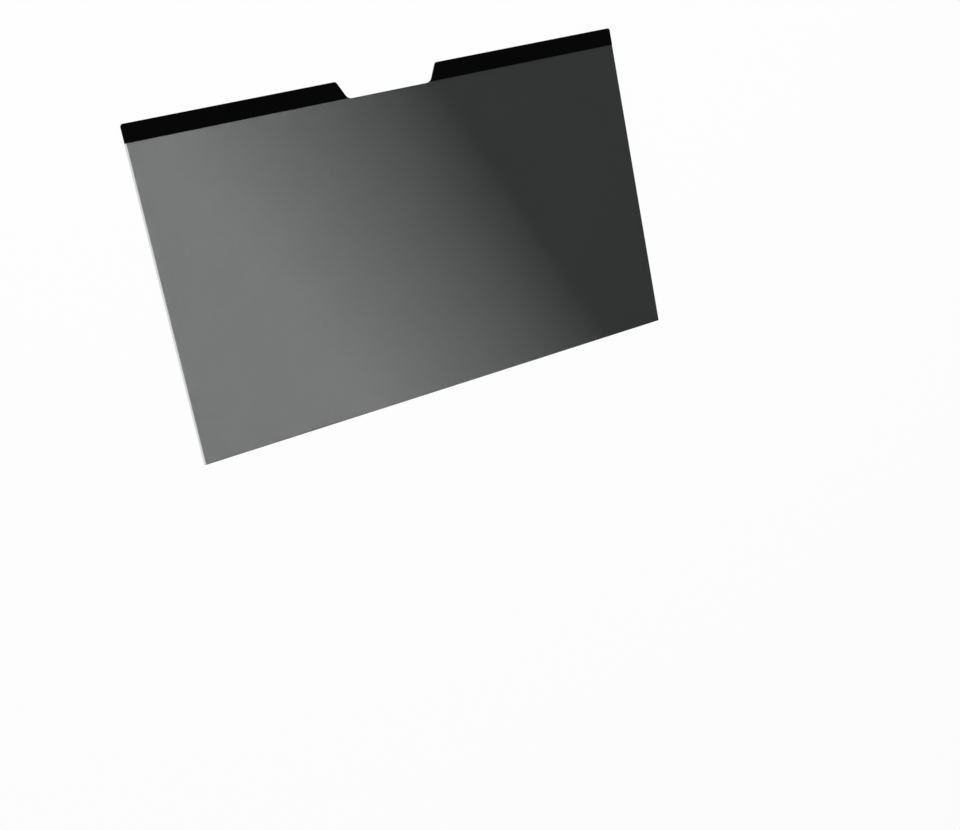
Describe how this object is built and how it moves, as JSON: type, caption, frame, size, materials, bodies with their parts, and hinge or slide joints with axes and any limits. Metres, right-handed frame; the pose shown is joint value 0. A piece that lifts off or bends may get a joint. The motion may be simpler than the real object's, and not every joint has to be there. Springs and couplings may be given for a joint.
{
  "type": "laptop privacy filter",
  "caption": "Thin flat louvre film with magnetic strips along its top edge and a camera notch between them, hung over a laptop display to narrow its viewing angle.",
  "frame": {"origin": "middle of the film's underside, on the surface that it lies on", "axes": "+X along the film's width, +Y towards the top edge with the strips, +Z out of the face that the user looks at"},
  "size_m": [0.31, 0.1824, 0.0008],
  "materials": {
    "louvre_film": "satin anti-glare, see-through from the front and dark from the side",
    "black_magnet": "matte black"
  },
  "bodies": {
    "root": {"privacy_film": "louvre_film", "left_magnetic_strip": "black_magnet", "right_magnetic_strip": "black_magnet"}
  },
  "joints": []
}
